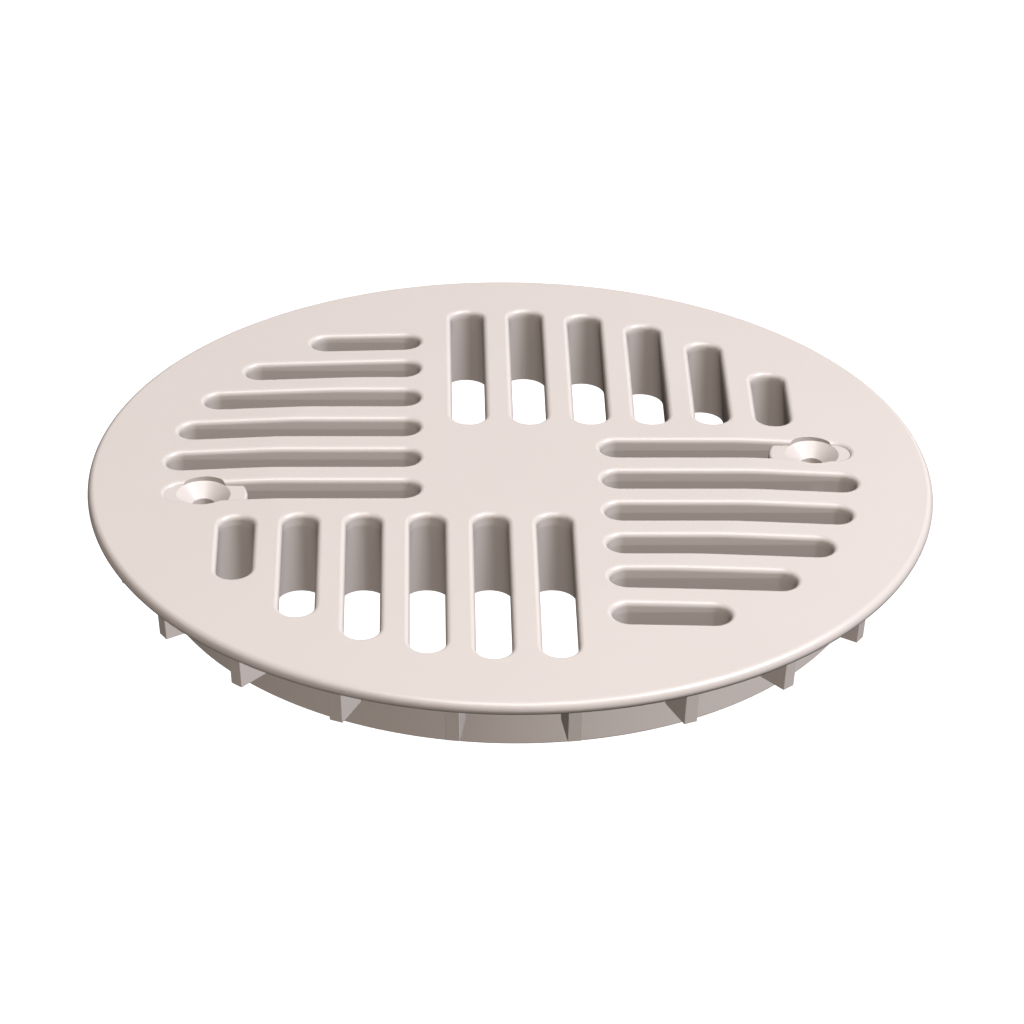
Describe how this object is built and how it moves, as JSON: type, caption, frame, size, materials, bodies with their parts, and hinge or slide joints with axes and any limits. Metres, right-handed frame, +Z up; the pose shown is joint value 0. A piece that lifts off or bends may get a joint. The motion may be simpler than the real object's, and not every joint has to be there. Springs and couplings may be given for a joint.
{
  "type": "floor drain grate",
  "caption": "Round moulded plastic floor drain grate: slots in a pinwheel of groups, a sloping flange, a ribbed skirt and countersunk screw eyes.",
  "frame": {"origin": "centre of the skirt's lower edge", "axes": "+Z up through the plate, X along the slots that hold the screw eyes, Y along the other slots"},
  "size_m": [0.15, 0.15, 0.0165],
  "materials": {
    "plastic": "warm off-white moulded plastic, fine satin"
  },
  "bodies": {
    "root": {"grate": "plastic"}
  },
  "joints": []
}
